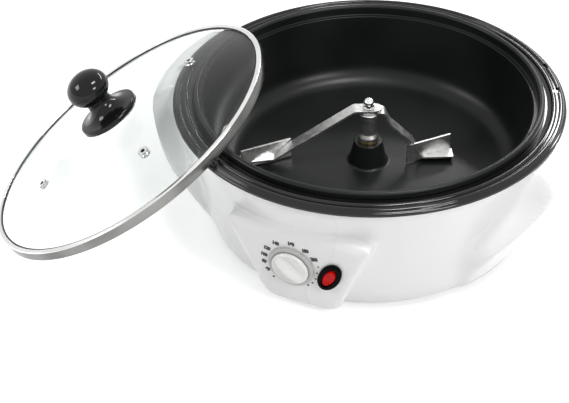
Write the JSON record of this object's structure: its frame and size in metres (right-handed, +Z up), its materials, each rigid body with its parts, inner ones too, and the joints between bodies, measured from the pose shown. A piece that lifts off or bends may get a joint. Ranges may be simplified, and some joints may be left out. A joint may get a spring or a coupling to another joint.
{
  "type": "home coffee bean roaster",
  "caption": "Round electric home coffee bean roaster with a flared white housing, a non-stick pan with a driven stirrer, a front dial and rocker switch, and a loose domed glass lid.",
  "frame": {"origin": "centre of the base plate's underside, on the pan's axis", "axes": "+Z up along the pan and stirrer axis, the control panel faces -Y, the side grips lie along X"},
  "size_m": [0.4738, 0.3595, 0.1419],
  "materials": {
    "white_housing": "semi-gloss white",
    "plated_steel": "dull zinc plate",
    "foot_rubber": "matt black",
    "black_trim": "gloss black",
    "ceramic_block": "unglazed ceramic, cream",
    "non_stick": "dark non-stick coating, satin",
    "element_sheath": "dull heat-darkened sheath",
    "shield_sheet": "mill finish",
    "black_plastic": "matt black",
    "bush_brass": "turned",
    "stirrer_steel": "bright stainless",
    "spindle_steel": "bright",
    "grey_dial": "satin grey",
    "white_knob": "gloss white",
    "red_lens": "clear red lens",
    "lid_glass": "clear tempered",
    "lid_steel": "polished stainless",
    "knob_black": "gloss black"
  },
  "bodies": {
    "case": {"housing_shell": "white_housing", "base_plate": "plated_steel", "gear_motor": "plated_steel", "motor_bracket": "plated_steel", "shield_post_1": "plated_steel", "shield_post_2": "plated_steel", "shield_post_3": "plated_steel", "base_screw_1": "plated_steel", "base_screw_2": "plated_steel", "base_screw_3": "plated_steel", "base_screw_4": "plated_steel", "foot_1": "foot_rubber", "foot_2": "foot_rubber", "foot_3": "foot_rubber", "foot_4": "foot_rubber", "trim_ring": "black_trim", "terminal_block": "ceramic_block", "pan": "non_stick", "heating_element": "element_sheath", "heat_shield": "shield_sheet", "thermal_cutout": "black_plastic", "thermostat_body": "black_plastic", "switch_housing": "black_plastic", "shaft_bush": "bush_brass"},
    "stirrer": {"drive_shaft": "stirrer_steel", "stirrer_hub": "stirrer_steel", "stirrer_arm_long": "stirrer_steel", "stirrer_arm_short": "stirrer_steel", "cap_nut": "stirrer_steel"},
    "thermostat_dial": {"thermostat_spindle": "spindle_steel", "dial_ring": "grey_dial", "thermostat_knob": "white_knob"},
    "rocker": {"power_rocker": "red_lens"},
    "lid": {"lid_glass": "lid_glass", "lid_band": "lid_steel", "knob_plate": "lid_steel", "lid_knob": "knob_black", "lid_screw": "lid_steel", "vent_grommet_1": "lid_steel", "vent_grommet_2": "lid_steel", "vent_grommet_3": "lid_steel", "vent_grommet_4": "lid_steel"}
  },
  "joints": [
    {"name": "stirrer_spin", "type": "hinge", "parent": "case", "child": "stirrer", "pos_m": [0, 0, 0.06], "axis": [0, 0, 1], "continuous": true},
    {"name": "thermostat_turn", "type": "hinge", "parent": "case", "child": "thermostat_dial", "pos_m": [-0.005, -0.14661, 0.0413], "axis": [0, -0.9962, -0.0872], "range_deg": [-191, 87]},
    {"name": "power_rocker_tip", "type": "hinge", "parent": "case", "child": "rocker", "pos_m": [0.026, -0.14507, 0.04083], "axis": [0.8988, 0.0382, -0.4367], "range_deg": [-14, 0]},
    {"name": "lid_lift", "type": "slide", "parent": "case", "child": "lid", "axis": [0, 0, 1], "range_m": [0, 0.16]}
  ]
}
